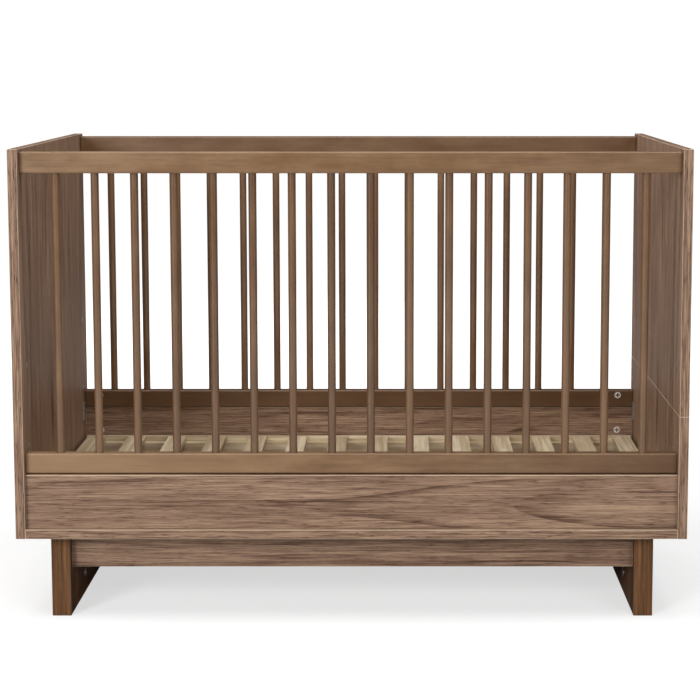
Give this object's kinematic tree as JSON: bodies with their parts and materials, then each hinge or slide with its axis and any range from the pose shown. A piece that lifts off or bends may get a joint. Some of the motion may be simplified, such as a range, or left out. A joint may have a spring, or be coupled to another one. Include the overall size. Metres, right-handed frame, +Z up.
{
  "type": "baby crib",
  "caption": "Walnut-finish baby crib with solid ends on a slab plinth, round-spindle sides and a slatted mattress base that moves up and down.",
  "frame": {"origin": "on the floor, under the middle of the crib", "axes": "+X along the crib towards the end whose panel divides, +Y towards the back, +Z up"},
  "size_m": [1.256, 0.692, 0.892],
  "materials": {
    "walnut_laminate": "satin laminate with walnut grain along the board",
    "dark_walnut_laminate": "satin laminate with darker walnut grain",
    "stained_solid_wood": "satin clear lacquer over brown stain",
    "pale_slat_wood": "planed, unfinished",
    "cast_zinc": "bright plated die casting",
    "plated_steel": "zinc plated",
    "beech_dowel": "fluted beech, unfinished"
  },
  "bodies": {
    "crib_frame": {"end_panel_left": "walnut_laminate", "end_panel_right_lower": "walnut_laminate", "end_panel_right_upper": "walnut_laminate", "bottom_board": "walnut_laminate", "front_lower_panel": "walnut_laminate", "back_lower_panel": "walnut_laminate", "front_bottom_rail": "stained_solid_wood", "back_bottom_rail": "stained_solid_wood", "front_top_rail": "stained_solid_wood", "back_top_rail": "stained_solid_wood", "front_spindle_01": "stained_solid_wood", "front_spindle_02": "stained_solid_wood", "front_spindle_03": "stained_solid_wood", "front_spindle_04": "stained_solid_wood", "front_spindle_05": "stained_solid_wood", "front_spindle_06": "stained_solid_wood", "front_spindle_07": "stained_solid_wood", "front_spindle_08": "stained_solid_wood", "front_spindle_09": "stained_solid_wood", "front_spindle_10": "stained_solid_wood", "front_spindle_11": "stained_solid_wood", "front_spindle_12": "stained_solid_wood", "front_spindle_13": "stained_solid_wood", "front_spindle_14": "stained_solid_wood", "front_spindle_15": "stained_solid_wood", "front_spindle_16": "stained_solid_wood", "back_spindle_01": "stained_solid_wood", "back_spindle_02": "stained_solid_wood", "back_spindle_03": "stained_solid_wood", "back_spindle_04": "stained_solid_wood", "back_spindle_05": "stained_solid_wood", "back_spindle_06": "stained_solid_wood", "back_spindle_07": "stained_solid_wood", "back_spindle_08": "stained_solid_wood", "back_spindle_09": "stained_solid_wood", "back_spindle_10": "stained_solid_wood", "back_spindle_11": "stained_solid_wood", "back_spindle_12": "stained_solid_wood", "back_spindle_13": "stained_solid_wood", "back_spindle_14": "stained_solid_wood", "back_spindle_15": "stained_solid_wood", "back_spindle_16": "stained_solid_wood", "leg_left_outer": "dark_walnut_laminate", "leg_left_inner": "dark_walnut_laminate", "leg_right_inner": "dark_walnut_laminate", "leg_right_outer": "dark_walnut_laminate", "front_apron": "walnut_laminate", "back_apron": "walnut_laminate", "cam_locks": "cast_zinc", "cam_bolts": "plated_steel", "dowel_pins": "beech_dowel", "threaded_inserts": "plated_steel", "corner_plates": "plated_steel", "leg_bolts": "plated_steel", "plinth_screws": "plated_steel"},
    "mattress_base": {"base_front_rail": "pale_slat_wood", "base_back_rail": "pale_slat_wood", "slats": "pale_slat_wood", "slat_screws": "plated_steel", "base_bolts": "plated_steel"}
  },
  "joints": [
    {"name": "base_height", "type": "slide", "parent": "crib_frame", "child": "mattress_base", "axis": [0, 0, 1], "range_m": [0, 0.288]}
  ]
}
